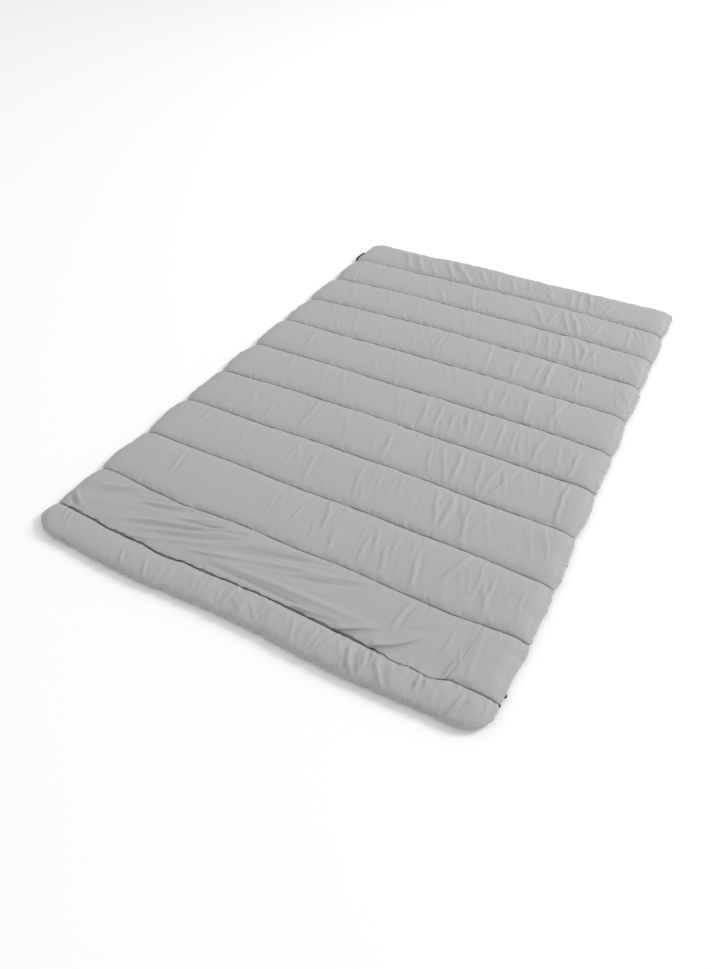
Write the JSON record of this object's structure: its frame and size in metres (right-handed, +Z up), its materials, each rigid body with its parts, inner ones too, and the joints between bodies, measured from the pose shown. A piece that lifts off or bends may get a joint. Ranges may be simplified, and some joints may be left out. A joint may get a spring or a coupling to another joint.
{
  "type": "quilted duvet",
  "caption": "Single duvet lying flat, quilted into crosswise channels, with a narrow foot roll and a flat pocket panel.",
  "frame": {"origin": "centre of the duvet's footprint, on the surface it lies on", "axes": "+X across the duvet along its channels, +Y from the foot roll to the far end, +Z up"},
  "size_m": [1.3076, 2.046, 0.0334],
  "materials": {
    "shell": "fine plain-weave polyester, light grey, soft matt",
    "panel": "fine plain-weave polyester, light grey, soft matt",
    "tape": "dark woven tape, matt"
  },
  "bodies": {
    "root": {"duvet_body": "shell", "pocket_panel": "panel", "side_tape_left": "tape", "side_tape_right": "tape"}
  },
  "joints": []
}
